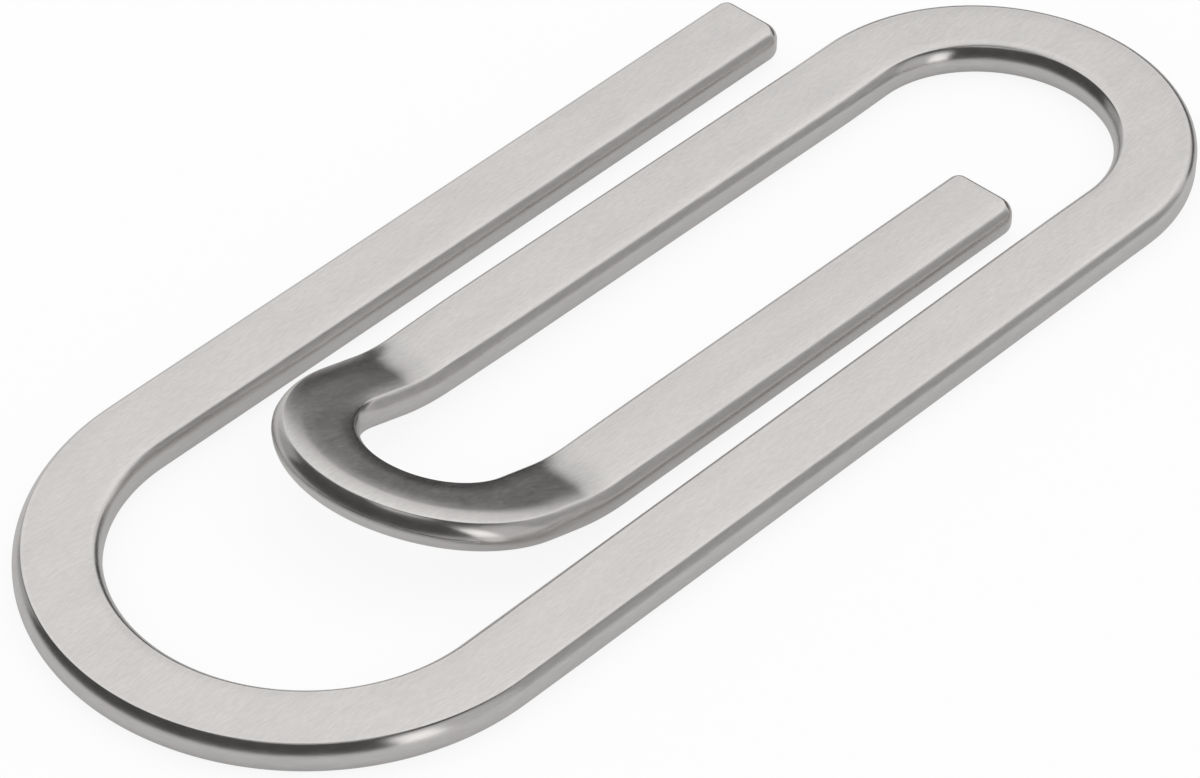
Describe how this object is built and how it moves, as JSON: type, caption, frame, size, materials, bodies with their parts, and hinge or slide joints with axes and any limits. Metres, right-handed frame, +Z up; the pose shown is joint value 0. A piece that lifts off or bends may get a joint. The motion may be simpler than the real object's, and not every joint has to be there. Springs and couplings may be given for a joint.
{
  "type": "money clip",
  "caption": "Flat one-piece spring money clip in the outline of an oversized paper clip, with a turned-up tongue that grips folded notes.",
  "frame": {"origin": "under the middle of the outline's bounding box, on the surface the clip lies on", "axes": "+X along the length, from the big bend that the notes pass over first to the top bend; +Y across the width, from the side rail towards the outer arm; +Z up, the side that the tongue's nose is turned towards"},
  "size_m": [0.0642, 0.0254, 0.0047],
  "materials": {
    "satin_steel": "satin, with the grain along the strip and rounded, polished edges"
  },
  "bodies": {
    "outer_loop": {"outer_bend": "satin_steel", "side_rail": "satin_steel", "top_bend": "satin_steel"},
    "outer_arm": {"outer_arm": "satin_steel"},
    "tongue": {"tongue_leg": "satin_steel", "tongue_nose": "satin_steel"},
    "free_leg": {"tongue_free_leg": "satin_steel"}
  },
  "joints": [
    {"name": "tongue_flex", "type": "hinge", "parent": "outer_loop", "child": "tongue", "pos_m": [0.0203, 0.00498, 0.00165], "axis": [0, 1, 0], "range_deg": [0, 5], "stiffness_Nm_per_rad": 8},
    {"name": "free_leg_flex", "type": "hinge", "parent": "tongue", "child": "free_leg", "pos_m": [-0.00646, -0.00562, 0.00197], "axis": [0, -1, 0], "range_deg": [0, 3], "stiffness_Nm_per_rad": 12},
    {"name": "arm_flex", "type": "hinge", "parent": "outer_loop", "child": "outer_arm", "pos_m": [-0.0174, 0.01077, 0.00165], "axis": [0, -1, 0], "range_deg": [0, 3], "stiffness_Nm_per_rad": 10}
  ]
}
